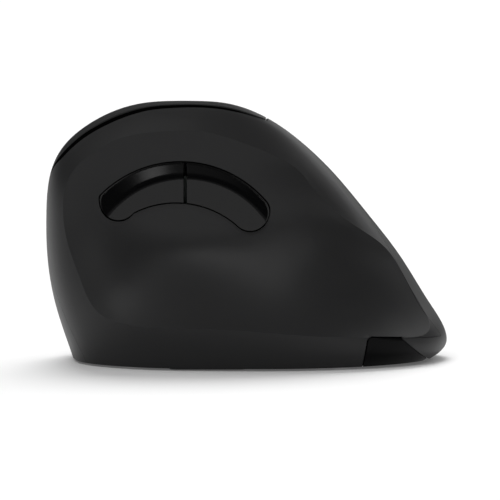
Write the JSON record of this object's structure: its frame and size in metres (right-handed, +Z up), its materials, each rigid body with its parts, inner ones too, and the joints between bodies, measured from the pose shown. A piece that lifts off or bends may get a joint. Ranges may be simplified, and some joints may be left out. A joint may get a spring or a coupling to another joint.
{
  "type": "vertical computer mouse",
  "caption": "Right-handed vertical mouse with a thumb scoop, thumb buttons, sloped finger buttons, a scroll wheel and a cell bay underneath.",
  "frame": {"origin": "under the middle of the whole mouse's bounding box, on the surface that it stands on", "axes": "+X towards the tail under the palm heel, -X towards the finger tips, -Y thumb side, +Y palm side, +Z up"},
  "size_m": [0.1158, 0.0766, 0.0755],
  "materials": {
    "soft_black": "soft-touch matt black",
    "gloss_black": "polished black",
    "base_black": "fine-textured black",
    "glide_grey": "smooth dark grey",
    "tyre_rubber": "matt ribbed rubber",
    "hub_grey": "satin dark grey",
    "frame_grey": "moulded grey",
    "steel": "plain steel",
    "board_green": "solder mask green",
    "switch_black": "black switch body",
    "lens_clear": "clear moulded lens",
    "cell_wrap": "plain wrapped cell"
  },
  "bodies": {
    "root": {"thumb_shell": "soft_black", "palm_shell": "soft_black", "rear_insert": "gloss_black", "wheel_surround": "gloss_black", "base_case": "base_black", "front_glide": "glide_grey", "rear_glide": "glide_grey", "thumb_glide": "glide_grey", "palm_glide": "glide_grey", "button_frame": "frame_grey", "hinge_rod": "steel", "case_screws": "steel", "board_screws": "steel", "spring_contact": "steel", "flat_contact": "steel", "main_board": "board_green", "switch_board": "board_green", "thumb_board": "board_green", "left_microswitch": "switch_black", "right_microswitch": "switch_black", "wheel_switch": "switch_black", "resolution_switch": "switch_black", "forward_switch": "switch_black", "back_switch": "switch_black", "wheel_encoder": "switch_black", "power_switch": "switch_black", "sensor_chip": "switch_black", "controller_chip": "switch_black", "sensor_lens": "lens_clear", "battery_cell": "cell_wrap"},
    "left_button": {"left_button": "soft_black"},
    "right_button": {"right_button": "soft_black"},
    "wheel_carrier": {"wheel_carrier": "frame_grey"},
    "wheel": {"wheel_hub": "hub_grey", "wheel_tyre": "tyre_rubber", "wheel_axle": "steel"},
    "forward_button": {"forward_button": "gloss_black"},
    "back_button": {"back_button": "gloss_black"},
    "resolution_button": {"resolution_button": "gloss_black"},
    "power_slider": {"power_slider": "base_black"},
    "battery_door": {"battery_door": "base_black"},
    "receiver": {"receiver_housing": "switch_black", "receiver_plug": "steel"}
  },
  "joints": [
    {"name": "left_click", "type": "hinge", "parent": "root", "child": "left_button", "pos_m": [0.0014, 0.02764, 0.01773], "axis": [0, -0.5362, 0.8441], "range_deg": [0, 0.45], "stiffness_Nm_per_rad": 3},
    {"name": "right_click", "type": "hinge", "parent": "root", "child": "right_button", "pos_m": [0.0014, 0.02764, 0.01773], "axis": [0, -0.5362, 0.8441], "range_deg": [0, 0.45], "stiffness_Nm_per_rad": 3},
    {"name": "wheel_click", "type": "slide", "parent": "root", "child": "wheel_carrier", "axis": [0, -0.8441, -0.5362], "range_m": [0, 0.0005], "stiffness_N_per_m": 1500},
    {"name": "wheel_spin", "type": "hinge", "parent": "wheel_carrier", "child": "wheel", "pos_m": [-0.0361, 0.004, 0.05158], "axis": [0, 0.5362, -0.8441], "continuous": true},
    {"name": "forward_press", "type": "slide", "parent": "root", "child": "forward_button", "axis": [0, 1, 0], "range_m": [0, 0.0005], "stiffness_N_per_m": 1200},
    {"name": "back_press", "type": "slide", "parent": "root", "child": "back_button", "axis": [0, 1, 0], "range_m": [0, 0.0005], "stiffness_N_per_m": 1200},
    {"name": "resolution_press", "type": "slide", "parent": "root", "child": "resolution_button", "axis": [0, -0.8441, -0.5362], "range_m": [0, 0.0004], "stiffness_N_per_m": 1200},
    {"name": "power_slide", "type": "slide", "parent": "root", "child": "power_slider", "axis": [1, 0, 0], "range_m": [0, 0.003]},
    {"name": "battery_door_swing", "type": "hinge", "parent": "root", "child": "battery_door", "pos_m": [-0.0207, 0.01223, 0.0015], "axis": [0, 1, 0], "range_deg": [0, 80]},
    {"name": "receiver_pull", "type": "slide", "parent": "root", "child": "receiver", "axis": [0, 0, -1], "range_m": [0, 0.008]}
  ]
}
